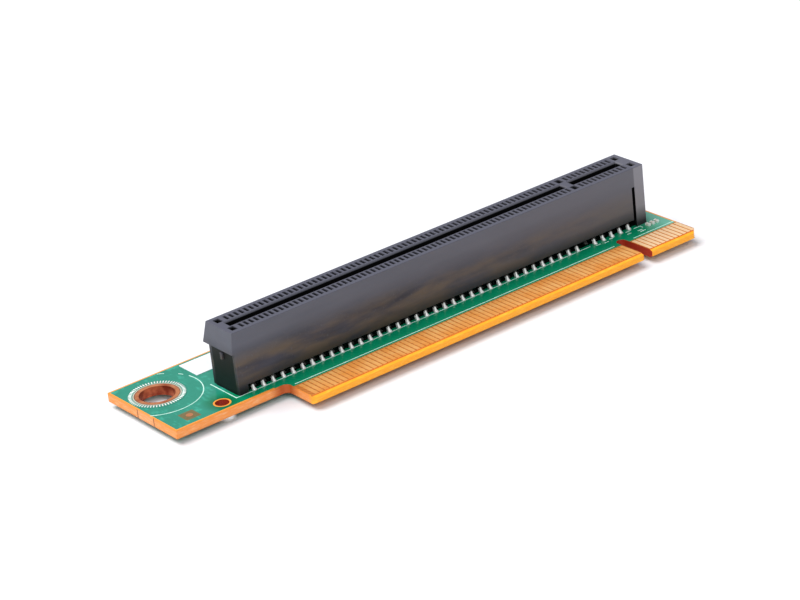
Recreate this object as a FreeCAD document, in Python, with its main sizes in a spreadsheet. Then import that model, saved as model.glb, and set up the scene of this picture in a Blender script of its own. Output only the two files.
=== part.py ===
import FreeCAD, Part
import Sketcher
import os
import re

# PCIe riser card: a printed circuit board with a x16 card slot soldered on its top face and a x16
# edge tongue along its front. The frame: the axis of the large mounting hole is the Z axis and the
# board's underside is Z = 0. +X runs along the board from that hole towards the short fingers, +Y
# points from the tongue towards the rear edge, +Z points out of the slot.

doc = FreeCAD.newDocument("pcie_riser_card")
sheet = doc.addObject("Spreadsheet::Sheet", "sizes")

SIZES = (
    # the board
    ("board_thickness", 1.57, "laminate with copper"),
    ("left_margin", 5.25, "hole axis to the left edge"),
    ("rear_margin", 6.95, "hole axis to the rear edge"),
    ("body_depth", 20.35, "rear edge to the front edge beside the tongue"),
    ("tongue_reach", 7.55, "how far the tongue stands out of the body"),
    ("tongue_fillet", 1.0, "cutter radius in the corner beside the tongue"),
    ("tongue_corner", 1.2, "cut-off corner at the tongue's short end"),
    ("tongue_lead", 0.5, "cut-off corner at the tongue's long end"),
    ("bevel_length", 0.7, "bevel along the mating edge"),
    ("bevel_rise", 0.3, "how much of the thickness each bevel takes"),
    ("notch_offset", 6.0, "slot key to tongue notch, along X"),
    ("notch_width", 1.9, "slot cut in the tongue for the key"),
    ("notch_depth", 7.75, "from the mating edge to the notch's end"),
    ("hole_bore", 6.0, "inside diameter of the plated mounting hole"),
    ("plating", 0.05, "copper on the mounting hole, pads and fingers"),
    ("pad_diameter", 9.8, "pad round the mounting hole"),
    ("tooling_bore", 2.4, "bare hole near the front edge"),
    ("tooling_right", 5.45, "tooling hole from the mounting hole, along X"),
    ("tooling_front", 10.9, "tooling hole from the mounting hole, along Y"),
    ("fiducial_left", 0.65, "fiducial mark from the mounting hole, along X"),
    ("fiducial_front", 10.45, "fiducial mark from the mounting hole, along Y"),
    ("fiducial_diameter", 1.2, "bare copper dot"),
    # the contact grid, the same for the tongue and the slot
    ("pitch", 1.0, "contact spacing along X"),
    ("key_gap", 3.0, "spacing of the two contacts beside the key"),
    ("long_count", 71, "contacts on the long side of the key"),
    ("short_count", 11, "contacts on the short side of the key"),
    ("long_edge", 1.1, "last long-side finger's middle to the tongue's side"),
    ("short_edge", 0.6, "last short-side finger's middle to the tongue's side"),
    ("finger_width", 0.7, "edge finger"),
    ("finger_end", 5.4, "mating edge to the inner end of a finger"),
    # the slot housing
    ("key_from_hole", 83.25, "mounting hole to the slot's key, along X"),
    ("slot_from_hole", 7.6, "mounting hole to the slot's middle plane, along Y"),
    ("housing_width", 7.4, "across the slot"),
    ("housing_height", 11.25, "above the board's top face"),
    ("housing_margin", 3.0, "last contact's middle to the housing's end"),
    ("standoff", 1.45, "gap between the housing and the board"),
    ("slot_depth", 8.4, "mouth to floor"),
    ("card_clearance", 0.14, "slot width over the card's thickness"),
    ("end_clearance", 0.1, "slot end to the card's side"),
    ("key_clearance", 0.15, "notch width over the key's"),
    ("mouth_chamfer", 0.25, "lead-in round the slot"),
    ("deck", 1.4, "thickness of the top plate over the cells"),
    ("rib_root", 0.6, "how far the ribs between cells run below the slot's floor"),
    ("cell_inner", 1.35, "slot's middle plane to a cell's near wall"),
    ("cell_outer", 2.9, "slot's middle plane to a cell's far wall"),
    ("cell_clearance", 0.15, "cell width over the contact's"),
    ("core_length", 1.15, "blind pocket at the end of each row of cells"),
    ("core_depth", 3.0, "depth of the blind pockets"),
    ("left_foot", 1.8, "foot under the long end"),
    ("slit_margin", 2.2, "housing's right end to the slit"),
    ("slit_width", 0.65, "slit between the wall and the end block"),
    ("slit_height", 7.6, "slit's top above the board"),
    ("slit_depth", 0.8, "slit's depth into the wall"),
    ("ridge_height", 3.8, "ridge at the long end, down from the top"),
    ("ridge_length", 3.0, "ridge along the rear face"),
    ("ridge_end", 0.5, "how far the ridge's foot stands out of the end"),
    ("ridge_rear", 0.9, "how far the ridge's foot stands out of the rear"),
    ("pip_width", 0.5, "pip on the long end's face, along Y"),
    ("pip_height", 1.2, "pip, along Z"),
    ("pip_level", 6.2, "pip's middle above the board"),
    ("pip_reach", 0.3, "how far the pip stands out"),
    ("post_diameter", 1.75, "locating post"),
    ("post_clearance", 0.1, "post hole over the post"),
    ("post_reach", 0.9, "post's end below the board"),
    # the stamped contacts
    ("contact_width", 0.45, "along X"),
    ("contact_stock", 0.25, "thickness of the strip"),
    ("tail_hole", 0.7, "plated hole for a tail, square here"),
    ("tail_reach", 1.1, "tail's end below the board"),
    ("outer_row", 3.15, "slot's middle plane to the outer tails"),
    ("inner_row", 1.65, "slot's middle plane to the inner tails"),
    ("bulge", 0.5, "slot's middle plane to the contact point"),
    ("bulge_drop", 3.0, "contact point below the housing's top"),
    ("tip_drop", 1.8, "contact's tip below the housing's top"),
    ("tip_out", 1.2, "slot's middle plane to the contact's tip"),
    # small pieces on the board
    ("label_length", 14.0, "along X"),
    ("label_width", 5.4, "along Y"),
    ("label_thickness", 0.1, "film"),
    ("label_gap", 4.55, "housing's rear face to the label"),
    ("label_lead", 0.4, "label's left end beyond the housing's"),
    ("chip_length", 1.0, "along Y"),
    ("chip_width", 0.5, "along X"),
    ("chip_height", 0.4, "above the board"),
    ("chip_cap", 0.25, "metal end of a chip"),
    ("chip_pitch", 1.0, "between neighbouring chips"),
    ("chip_inset", 2.3, "last chip's middle to the board's right edge"),
    ("chip_front", 1.2, "chips' middle in front of the housing's front face"),
)
for row, (name, value, meaning) in enumerate(SIZES, start=1):
    sheet.set("A%d" % row, name)
    sheet.set("B%d" % row, str(value))
    sheet.set("C%d" % row, meaning)
    sheet.setAlias("B%d" % row, name)
doc.recompute()
ALIASES = {name for name, value, meaning in SIZES}


def fx(text):
    """An expression whose aliases are looked up in the sheet."""
    return re.sub(r"[a-z_]+", lambda m: "sizes." + m.group() if m.group() in ALIASES else m.group(), text)


def number(text):
    return float(sheet.evalExpression(fx(text)))


# Places worked out from the driving sizes, as expressions.
TOP = "board_thickness"
FRONT = "(rear_margin - body_depth)"
MATING = "(rear_margin - body_depth - tongue_reach)"
NOTCH = "(key_from_hole + notch_offset)"
GRID_LEFT = "(key_gap / 2 + (long_count - 1) * pitch)"
GRID_RIGHT = "(key_gap / 2 + (short_count - 1) * pitch)"
TONGUE_LEFT = f"({NOTCH} - {GRID_LEFT} - long_edge)"
TONGUE_RIGHT = f"({NOTCH} + {GRID_RIGHT} + short_edge)"
SLOT_LEFT = f"(key_from_hole - {GRID_LEFT} - long_edge - end_clearance)"
SLOT_RIGHT = f"(key_from_hole + {GRID_RIGHT} + short_edge + end_clearance)"
KEY_HALF = "((notch_width - key_clearance) / 2)"
SLOT_HALF = "((board_thickness + card_clearance) / 2)"
END_LEFT = f"(key_from_hole - {GRID_LEFT} - housing_margin)"
END_RIGHT = f"(key_from_hole + {GRID_RIGHT} + housing_margin)"
CELL_HALF = "((contact_width + cell_clearance) / 2)"
ROOF = "(board_thickness + housing_height)"
FLOOR = f"({ROOF} - slot_depth)"
UNDERSIDE = "(board_thickness + standoff)"
RIB_END = f"({FLOOR} - rib_root)"
FACE = "(housing_width / 2)"


def new_body(name):
    body = doc.addObject("PartDesign::Body", name)
    body.Label = name
    return body


def new_sketch(body, name, role="XY_Plane", offset="0"):
    """An empty sketch on one of the body's own origin planes, moved along its normal."""
    sketch = body.newObject("Sketcher::SketchObject", name)
    plane = [f for f in body.Origin.OriginFeatures if f.Role == role][0]
    sketch.AttachmentSupport = [(plane, "")]
    sketch.MapMode = "FlatFace"
    if offset != "0":
        sketch.AttachmentOffset = FreeCAD.Placement(
            FreeCAD.Vector(0, 0, number(offset)), FreeCAD.Rotation())
        sketch.setExpression("AttachmentOffset.Base.z", fx(offset))
    return sketch


def pin(sketch, kind, geometry, end, text):
    """One dimension of a sketch, bound to the sheet; end is None for a diameter."""
    where = (geometry,) if end is None else (geometry, end)
    index = sketch.addConstraint(Sketcher.Constraint(kind, *where, number(text)))
    sketch.setExpression("Constraints[%d]" % index, fx(text))


def polygon(sketch, corners):
    """A closed outline through corners given as pairs of expressions."""
    spots = [FreeCAD.Vector(number(x), number(y), 0) for x, y in corners]
    first = sketch.GeometryCount
    for k, spot in enumerate(spots):
        sketch.addGeometry(Part.LineSegment(spot, spots[(k + 1) % len(spots)]))
    for k, (x, y) in enumerate(corners):
        after = first + (k + 1) % len(corners)
        sketch.addConstraint(Sketcher.Constraint("Coincident", first + k, 2, after, 1))
        pin(sketch, "DistanceX", first + k, 1, x)
        pin(sketch, "DistanceY", first + k, 1, y)


def rectangle(sketch, left, right, front, rear):
    polygon(sketch, ((left, front), (right, front), (right, rear), (left, rear)))


def circle(sketch, x, y, diameter):
    centre = FreeCAD.Vector(number(x), number(y), 0)
    index = sketch.addGeometry(Part.Circle(centre, FreeCAD.Vector(0, 0, 1), number(diameter) / 2))
    pin(sketch, "DistanceX", index, 3, x)
    pin(sketch, "DistanceY", index, 3, y)
    pin(sketch, "Diameter", index, None, diameter)


def add_feature(body, kind, name, sketch, length, down=False, both=False):
    """A Pad or a Pocket of a set length; it says so if it adds or cuts nothing."""
    before = body.Tip.Shape.Volume if body.Tip else 0.0
    feature = body.newObject("PartDesign::" + kind, name)
    feature.Profile = sketch
    feature.Length = number(length)
    feature.setExpression("Length", fx(length))
    feature.Reversed = down
    feature.SideType = "Symmetric" if both else "One side"
    body.Tip = feature
    doc.recompute()
    change = feature.Shape.Volume - before
    if change * (1 if kind == "Pad" else -1) <= 0:
        raise ValueError(name + " changes nothing")
    return feature


def add_pattern(body, name, original, sketch, axis, spacing, count):
    """Repeats a feature along an axis of its sketch."""
    before = body.Tip.Shape.Volume
    pattern = body.newObject("PartDesign::LinearPattern", name)
    pattern.Originals = [original]
    pattern.Direction = (sketch, [axis])
    pattern.Mode = "Spacing"
    pattern.Offset = number(spacing)
    pattern.setExpression("Offset", fx(spacing))
    pattern.Occurrences = int(number(count))
    pattern.setExpression("Occurrences", fx(count))
    body.Tip = pattern
    doc.recompute()
    if abs(pattern.Shape.Volume - before) < 1e-6:
        raise ValueError(name + " changes nothing")
    return pattern


# A tail row is every other contact. The outer row takes the even contacts, counted from the short
# end, and the inner row takes the odd ones. Each row breaks at the key: its long and short runs
# are given as the X of the leftmost contact and how many there are.
ROWS = {
    "outer": (
        (f"(key_from_hole - {GRID_LEFT})", "floor((long_count + 1) / 2)"),
        ("(key_from_hole + key_gap / 2 + pitch)", "floor(short_count / 2)"),
    ),
    "inner": (
        (f"(key_from_hole - {GRID_LEFT} + pitch)", "floor(long_count / 2)"),
        ("(key_from_hole + key_gap / 2)", "floor((short_count + 1) / 2)"),
    ),
}


def across(side, distance):
    """The Y at a distance from the slot's middle plane, on the front or the rear side."""
    sign = "-" if side == "front" else "+"
    return f"(-slot_from_hole {sign} {distance})"


# ---- circuit_board: FR4 laminate, routed to outline, bevelled along the mating edge ----
board = new_body("circuit_board")
outline = new_sketch(board, "board_outline")
RIGHT_CUT = f"({TONGUE_RIGHT} - tongue_corner)"
polygon(outline, (
    ("-left_margin", FRONT),
    (TONGUE_LEFT, FRONT),
    (TONGUE_LEFT, f"({MATING} + tongue_lead)"),
    (f"({TONGUE_LEFT} + tongue_lead)", MATING),
    (RIGHT_CUT, MATING),
    (TONGUE_RIGHT, f"({MATING} + tongue_corner)"),
    (TONGUE_RIGHT, "rear_margin"),
    ("-left_margin", "rear_margin"),
))
board_pad = add_feature(board, "Pad", "board_laminate", outline, TOP)

inner_corner = FreeCAD.Vector(number(TONGUE_LEFT), number(FRONT), 0)
corner_edges = [
    "Edge%d" % (k + 1) for k, edge in enumerate(board_pad.Shape.Edges)
    if all(abs(v.X - inner_corner.x) < 1e-6 and abs(v.Y - inner_corner.y) < 1e-6 for v in edge.Vertexes)
]
corner = board.newObject("PartDesign::Fillet", "tongue_corner_fillet")
corner.Base = (board_pad, corner_edges)
corner.Radius = number("tongue_fillet")
corner.setExpression("Radius", fx("tongue_fillet"))
board.Tip = corner
doc.recompute()

# The bevels are two wedges cut along the whole mating edge, drawn from the end.
bevels = new_sketch(board, "bevel_profile", "YZ_Plane", TONGUE_LEFT)
BEVEL_END = f"({MATING} + bevel_length)"
polygon(bevels, ((MATING, TOP), (BEVEL_END, TOP), (MATING, f"({TOP} - bevel_rise)")))
polygon(bevels, ((MATING, "0"), (MATING, "bevel_rise"), (BEVEL_END, "0")))
add_feature(board, "Pocket", "bevels", bevels, f"({TONGUE_RIGHT} - {TONGUE_LEFT})", down=True)

# The notch for the slot's key ends in a full round.
notch = new_sketch(board, "notch_profile")
NOTCH_LEFT = f"({NOTCH} - notch_width / 2)"
NOTCH_RIGHT = f"({NOTCH} + notch_width / 2)"
NOTCH_TURN = f"({MATING} + notch_depth - notch_width / 2)"
turn = FreeCAD.Vector(number(NOTCH), number(NOTCH_TURN), 0)
legs = (
    (NOTCH_LEFT, NOTCH_TURN),
    (NOTCH_LEFT, MATING),
    (NOTCH_RIGHT, MATING),
    (NOTCH_RIGHT, NOTCH_TURN),
)
spots = [FreeCAD.Vector(number(x), number(y), 0) for x, y in legs]
for start, end in zip(spots, spots[1:]):
    notch.addGeometry(Part.LineSegment(start, end))
round_end = Part.Circle(turn, FreeCAD.Vector(0, 0, 1), number("notch_width / 2"))
notch.addGeometry(Part.ArcOfCircle(round_end, 0, 3.141592653589793))
for k in (0, 1):
    notch.addConstraint(Sketcher.Constraint("Coincident", k, 2, k + 1, 1))
notch.addConstraint(Sketcher.Constraint("Coincident", 2, 2, 3, 1))
notch.addConstraint(Sketcher.Constraint("Coincident", 3, 2, 0, 1))
for k, end, (x, y) in ((0, 1, legs[0]), (1, 1, legs[1]), (2, 1, legs[2]), (2, 2, legs[3])):
    pin(notch, "DistanceX", k, end, x)
    pin(notch, "DistanceY", k, end, y)
pin(notch, "DistanceY", 3, 3, NOTCH_TURN)
add_feature(board, "Pocket", "key_notch", notch, TOP, down=True)

# Round holes: the plated mounting hole, the bare tooling hole and the two post holes.
LEFT_POST = f"({END_LEFT} + post_diameter)"
round_holes = new_sketch(board, "round_holes")
circle(round_holes, "0", "0", "(hole_bore + 2 * plating)")
circle(round_holes, "tooling_right", "-tooling_front", "tooling_bore")
circle(round_holes, "key_from_hole", "-slot_from_hole", "(post_diameter + post_clearance)")
circle(round_holes, LEFT_POST, "-slot_from_hole", "(post_diameter + post_clearance)")
add_feature(board, "Pocket", "drilled_holes", round_holes, TOP, down=True)

# Tail holes: one pair, front and rear, at the left of each run, then repeated along the run.
for row, runs in ROWS.items():
    for part_of_row, (start, count) in zip(("long", "short"), runs):
        name = f"tail_holes_{row}_{part_of_row}"
        holes = new_sketch(board, name + "_pair")
        for side in ("front", "rear"):
            middle = across(side, row + "_row")
            rectangle(
                holes,
                f"({start} - tail_hole / 2)", f"({start} + tail_hole / 2)",
                f"({middle} - tail_hole / 2)", f"({middle} + tail_hole / 2)")
        cut = add_feature(board, "Pocket", name, holes, TOP, down=True)
        add_pattern(board, name + "_run", cut, holes, "H_Axis", "2 * pitch", count)

# ---- slot_housing: one glass-filled moulding ----
housing = new_body("slot_housing")
FRONT_FACE = across("front", FACE)
REAR_FACE = across("rear", FACE)
block = new_sketch(housing, "block_outline", "XY_Plane", UNDERSIDE)
rectangle(block, END_LEFT, END_RIGHT, FRONT_FACE, REAR_FACE)
add_feature(housing, "Pad", "block", block, "(housing_height - standoff)")

# Feet at both ends stand on the board; the row of tails shows between them.
SLIT_LEFT = f"({END_RIGHT} - slit_margin - slit_width)"
SLIT_RIGHT = f"({END_RIGHT} - slit_margin)"
feet = new_sketch(housing, "feet_outline", "XY_Plane", TOP)
rectangle(feet, END_LEFT, f"({END_LEFT} + left_foot)", FRONT_FACE, REAR_FACE)
rectangle(feet, SLIT_RIGHT, END_RIGHT, FRONT_FACE, REAR_FACE)
add_feature(housing, "Pad", "feet", feet, "standoff")

# Two posts locate the housing in the board.
posts = new_sketch(housing, "posts_outline", "XY_Plane", UNDERSIDE)
circle(posts, "key_from_hole", "-slot_from_hole", "post_diameter")
circle(posts, LEFT_POST, "-slot_from_hole", "post_diameter")
add_feature(housing, "Pad", "posts", posts, f"({UNDERSIDE} + post_reach)", down=True)

# The ridge at the long end swells from nothing at the top to a ledge, by a loft.
RIDGE_FOOT = f"({ROOF} - ridge_height)"
RIDGE_RIGHT = f"({END_LEFT} + ridge_length)"
ridge_foot = new_sketch(housing, "ridge_foot", "XY_Plane", RIDGE_FOOT)
rectangle(
    ridge_foot, f"({END_LEFT} - ridge_end)", RIDGE_RIGHT,
    FRONT_FACE, across("rear", f"({FACE} + ridge_rear)"))
ridge_top = new_sketch(housing, "ridge_top", "XY_Plane", ROOF)
rectangle(ridge_top, END_LEFT, RIDGE_RIGHT, FRONT_FACE, REAR_FACE)
ridge = housing.newObject("PartDesign::AdditiveLoft", "ridge")
ridge.Profile = ridge_foot
ridge.Sections = [ridge_top]
ridge.Ruled = True
housing.Tip = ridge
doc.recompute()

# A small pip stands on the long end's face, on the slot's middle plane.
pip = new_sketch(housing, "pip_outline", "YZ_Plane", END_LEFT)
PIP_LOW = f"({TOP} + pip_level - pip_height / 2)"
rectangle(
    pip, across("front", "pip_width / 2"), across("rear", "pip_width / 2"),
    PIP_LOW, f"({PIP_LOW} + pip_height)")
add_feature(housing, "Pad", "end_pip", pip, "pip_reach", down=True)

# The card slot in two lengths, parted by the key, with a lead-in round each mouth.
slot = new_sketch(housing, "slot_outline", "XY_Plane", ROOF)
KEY_LEFT = f"(key_from_hole - {KEY_HALF})"
KEY_RIGHT = f"(key_from_hole + {KEY_HALF})"
SLOT_FRONT = across("front", SLOT_HALF)
SLOT_REAR = across("rear", SLOT_HALF)
rectangle(slot, SLOT_LEFT, KEY_LEFT, SLOT_FRONT, SLOT_REAR)
rectangle(slot, KEY_RIGHT, SLOT_RIGHT, SLOT_FRONT, SLOT_REAR)
card_slot = add_feature(housing, "Pocket", "card_slot", slot, "slot_depth")
mouth_edges = [
    "Edge%d" % (k + 1) for k, edge in enumerate(card_slot.Shape.Edges)
    if all(abs(v.Z - number(ROOF)) < 1e-6 for v in edge.Vertexes)
    and abs(edge.CenterOfMass.y + number("slot_from_hole")) < number(SLOT_HALF) + 1e-6
    and number(SLOT_LEFT) - 1e-6 < edge.CenterOfMass.x < number(SLOT_RIGHT) + 1e-6
]
mouth = housing.newObject("PartDesign::Chamfer", "mouth_lead_in")
mouth.Base = (card_slot, mouth_edges)
mouth.Size = number("mouth_chamfer")
mouth.setExpression("Size", fx("mouth_chamfer"))
housing.Tip = mouth
doc.recompute()

# Under the top plate the cells open into the slot. Below the slot's floor the ribs between them are
# rooted in the floor, and then the cells open into one channel for the tails on each side.
RUNS = (
    ("long", f"(key_from_hole - {GRID_LEFT})", "(key_from_hole - key_gap / 2)", "long_count"),
    ("short", "(key_from_hole + key_gap / 2)", f"(key_from_hole + {GRID_RIGHT})", "short_count"),
)
hollow = new_sketch(housing, "hollow_outline", "XY_Plane", f"({ROOF} - deck)")
for part_of_row, start, end, count in RUNS:
    rectangle(
        hollow, f"({start} - {CELL_HALF})", f"({end} + {CELL_HALF})",
        across("front", "cell_inner"), across("rear", "cell_inner"))
add_feature(housing, "Pocket", "contact_hollow", hollow, "(slot_depth - deck)")
channels = new_sketch(housing, "channel_outline", "XY_Plane", UNDERSIDE)
for side in ("front", "rear"):
    near, far = across(side, "cell_inner"), across(side, "cell_outer")
    rectangle(
        channels, f"({RUNS[0][1]} - {CELL_HALF})", f"({RUNS[1][2]} + {CELL_HALF})",
        *((far, near) if side == "front" else (near, far)))
add_feature(housing, "Pocket", "tail_channels", channels, f"({RIB_END} - {UNDERSIDE})", down=True)

# One cell for each contact, front and rear, through the top plate.
for part_of_row, start, end, count in RUNS:
    name = f"cells_{part_of_row}"
    cell = new_sketch(housing, name + "_pair", "XY_Plane", ROOF)
    for side in ("front", "rear"):
        near, far = across(side, "cell_inner"), across(side, "cell_outer")
        rectangle(
            cell, f"({start} - {CELL_HALF})", f"({start} + {CELL_HALF})",
            *((far, near) if side == "front" else (near, far)))
    cut = add_feature(housing, "Pocket", name, cell, "(slot_depth + rib_root)")
    add_pattern(housing, name + "_run", cut, cell, "H_Axis", "pitch", count)

# Blind pockets core out the solid at both ends of the rows and at the key.
cores = new_sketch(housing, "core_outline", "XY_Plane", ROOF)
CORE_MIDDLES = (
    f"(({END_LEFT} + {RUNS[0][1]} - {CELL_HALF}) / 2)",
    "key_from_hole",
    f"(({END_RIGHT} + {RUNS[1][2]} + {CELL_HALF}) / 2)",
)
for middle in CORE_MIDDLES:
    for side in ("front", "rear"):
        near, far = across(side, "cell_inner"), across(side, "cell_outer")
        rectangle(
            cores, f"({middle} - core_length / 2)", f"({middle} + core_length / 2)",
            *((far, near) if side == "front" else (near, far)))
add_feature(housing, "Pocket", "end_cores", cores, "core_depth")

# A slit in each long wall sets the end block free of the row.
slits = new_sketch(housing, "slit_outline", "XY_Plane", f"({TOP} + slit_height)")
rectangle(slits, SLIT_LEFT, SLIT_RIGHT, FRONT_FACE, f"({FRONT_FACE} + slit_depth)")
rectangle(slits, SLIT_LEFT, SLIT_RIGHT, f"({REAR_FACE} - slit_depth)", REAR_FACE)
add_feature(housing, "Pocket", "wall_slits", slits, "(slit_height - standoff)")

# ---- contacts: strip stampings, one profile for each row, repeated along the row ----
TAIL_END = "(-tail_reach)"
BULGE_Z = f"({ROOF} - bulge_drop)"
TIP_Z = f"({ROOF} - tip_drop)"


def contact_profile(row):
    """Middle line of a contact from its tail up, as distances from the slot's middle plane."""
    bend = TOP if row == "outer" else FLOOR
    return ((row + "_row", TAIL_END), (row + "_row", bend), ("bulge", BULGE_Z))


for side in ("front", "rear"):
    for row, runs in ROWS.items():
        body = new_body(f"contacts_{side}_{row}")
        for part_of_row, (start, count) in zip(("long", "short"), runs):
            name = f"contact_{side}_{row}_{part_of_row}"
            profile = new_sketch(body, name + "_profile", "YZ_Plane", start)
            stations = contact_profile(row)
            outside = [(across(side, f"({u} + contact_stock / 2)"), z) for u, z in stations]
            inside = [(across(side, f"({u} - contact_stock / 2)"), z) for u, z in stations]
            tip = [(across(side, "tip_out"), TIP_Z)]
            polygon(profile, outside + tip + inside[::-1])
            blade = add_feature(body, "Pad", name, profile, "contact_width", both=True)
            add_pattern(body, name + "_run", blade, profile, "N_Axis", "2 * pitch", count)

# ---- edge fingers: plated on both faces of the tongue, opposite the notch's grid ----
for face, level, down in (("top", TOP, False), ("bottom", "0", True)):
    for part_of_row, start, count in (
        ("long", f"({NOTCH} - {GRID_LEFT})", "long_count"),
        ("short", f"({NOTCH} + key_gap / 2)", "short_count"),
    ):
        name = f"fingers_{face}_{part_of_row}"
        body = new_body(name)
        strip = new_sketch(body, name + "_outline", "XY_Plane", level)
        rectangle(
            strip, f"({start} - finger_width / 2)", f"({start} + finger_width / 2)",
            BEVEL_END, f"({MATING} + finger_end)")
        finger = add_feature(body, "Pad", name + "_one", strip, "plating", down=down)
        add_pattern(body, name + "_run", finger, strip, "H_Axis", "pitch", count)

# ---- mounting_hole_plating: barrel with a flat pad on each face, as one turned shape ----
plating = new_body("mounting_hole_plating")
section = new_sketch(plating, "plating_section", "XZ_Plane")
BORE = "(hole_bore / 2)"
SLEEVE = "(hole_bore / 2 + plating)"
RIM = "(pad_diameter / 2)"
polygon(section, (
    (BORE, "(-plating)"),
    (RIM, "(-plating)"),
    (RIM, "0"),
    (SLEEVE, "0"),
    (SLEEVE, TOP),
    (RIM, TOP),
    (RIM, f"({TOP} + plating)"),
    (BORE, f"({TOP} + plating)"),
))
turned = plating.newObject("PartDesign::Revolution", "plated_barrel")
turned.Profile = section
turned.ReferenceAxis = (section, ["V_Axis"])
turned.Angle = 360
plating.Tip = turned

# ---- fiducial_mark: bare copper dot ----
fiducial = doc.addObject("Part::Cylinder", "fiducial_mark")
fiducial.Label = "fiducial_mark"
fiducial.setExpression("Radius", fx("fiducial_diameter / 2"))
fiducial.setExpression("Height", fx("plating"))
fiducial.setExpression("Placement.Base.x", fx("-fiducial_left"))
fiducial.setExpression("Placement.Base.y", fx("-fiducial_front"))
fiducial.setExpression("Placement.Base.z", fx(TOP))


def new_box(name, left, front, low, length, width, height):
    box = doc.addObject("Part::Box", name)
    box.Label = name
    for prop, text in (
        ("Length", length), ("Width", width), ("Height", height),
        ("Placement.Base.x", left), ("Placement.Base.y", front), ("Placement.Base.z", low),
    ):
        box.setExpression(prop, fx(text))
    return box


# ---- label: blank film behind the connector ----
new_box(
    "label", f"({END_LEFT} - label_lead)", f"({REAR_FACE} + label_gap)", TOP,
    "label_length", "label_width", "label_thickness")

# ---- chips: a ceramic block with a metal cap on each end, three in a row ----
for place in (1, 2, 3):
    middle = f"({TONGUE_RIGHT} - chip_inset - {3 - place} * chip_pitch)"
    left = f"({middle} - chip_width / 2)"
    front = f"({FRONT_FACE} - chip_front - chip_length / 2)"
    new_box(
        f"chip_{place}_body", left, f"({front} + chip_cap)", TOP,
        "chip_width", "(chip_length - 2 * chip_cap)", "chip_height")
    caps = doc.addObject("Part::Compound", f"chip_{place}_terminals")
    caps.Label = f"chip_{place}_terminals"
    caps.Links = [
        new_box(f"chip_{place}_cap_front", left, front, TOP, "chip_width", "chip_cap", "chip_height"),
        new_box(
            f"chip_{place}_cap_rear", left, f"({front} + chip_length - chip_cap)", TOP,
            "chip_width", "chip_cap", "chip_height"),
    ]

doc.recompute()

SUB_PARTS = (
    "circuit_board", "slot_housing",
    "contacts_front_outer", "contacts_front_inner", "contacts_rear_outer", "contacts_rear_inner",
    "fingers_top_long", "fingers_top_short", "fingers_bottom_long", "fingers_bottom_short",
    "mounting_hole_plating", "fiducial_mark", "label",
    "chip_1_body", "chip_2_body", "chip_3_body",
    "chip_1_terminals", "chip_2_terminals", "chip_3_terminals",
)
for item in doc.Objects:
    if "Invalid" in item.State or "Error" in item.State:
        raise ValueError(item.Name + " failed")
for label in SUB_PARTS:
    shape = doc.getObjectsByLabel(label)[0].Shape
    if shape.isNull() or not shape.isValid():
        raise ValueError(label + " has no valid shape")

os.makedirs("parts", exist_ok=True)
for label in SUB_PARTS:
    shape = doc.getObjectsByLabel(label)[0].Shape
    shape.exportStep(os.path.join("parts", label + ".step"))
    print(label, len(shape.Solids), round(shape.Volume, 3))
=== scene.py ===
from math import cos, pi, sin

import bmesh
import bpy
import numpy as np
from mathutils import Matrix, Vector


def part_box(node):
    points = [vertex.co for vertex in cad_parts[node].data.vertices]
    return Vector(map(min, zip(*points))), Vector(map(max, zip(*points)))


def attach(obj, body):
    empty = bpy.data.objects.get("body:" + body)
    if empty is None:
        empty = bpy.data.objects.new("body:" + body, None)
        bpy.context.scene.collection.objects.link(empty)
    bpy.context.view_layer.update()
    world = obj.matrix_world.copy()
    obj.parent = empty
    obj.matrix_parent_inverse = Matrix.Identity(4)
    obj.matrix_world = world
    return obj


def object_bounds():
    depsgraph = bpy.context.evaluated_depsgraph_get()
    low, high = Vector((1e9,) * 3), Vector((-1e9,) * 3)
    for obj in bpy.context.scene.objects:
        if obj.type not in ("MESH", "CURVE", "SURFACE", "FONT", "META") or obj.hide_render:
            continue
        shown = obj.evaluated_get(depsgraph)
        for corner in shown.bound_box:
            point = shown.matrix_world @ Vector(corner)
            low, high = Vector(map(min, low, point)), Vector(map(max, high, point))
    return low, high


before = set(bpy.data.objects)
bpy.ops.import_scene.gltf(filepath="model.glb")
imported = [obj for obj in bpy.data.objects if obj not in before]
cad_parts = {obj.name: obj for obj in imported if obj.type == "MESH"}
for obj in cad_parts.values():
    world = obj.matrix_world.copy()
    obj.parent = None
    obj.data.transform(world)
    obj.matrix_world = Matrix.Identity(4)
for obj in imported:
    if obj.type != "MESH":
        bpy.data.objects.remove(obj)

cad_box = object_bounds()
MM = 0.001


# ---- the view ----
# The card lies on its tail ends on a white table, seen from above its left front corner through a
# long lens, so that the long slot runs up to the right.
CAMERA_PLACE = Vector((-207.70, -365.84, 204.39)) * MM
YAW = 0.95647
PITCH = -0.42791
ROLL = -0.114
FOCAL_LENGTH = 128.17
SENSOR_WIDTH = 36.0

forward = Vector((cos(PITCH) * cos(YAW), cos(PITCH) * sin(YAW), sin(PITCH)))
level = Vector((sin(YAW), -cos(YAW), 0))
upright = level.cross(forward)
camera_right = cos(ROLL) * level + sin(ROLL) * upright
camera_up = cos(ROLL) * upright - sin(ROLL) * level
camera = bpy.data.objects.new("camera", bpy.data.cameras.new("camera"))
camera.data.lens = FOCAL_LENGTH
camera.data.sensor_width = SENSOR_WIDTH
camera.data.clip_start = 0.01
camera.matrix_world = (
    Matrix.Translation(CAMERA_PLACE)
    @ Matrix((camera_right, camera_up, -forward)).transposed().to_4x4())
bpy.context.scene.collection.objects.link(camera)
bpy.context.scene.camera = camera
bpy.context.scene.view_settings.view_transform = "Standard"


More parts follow.
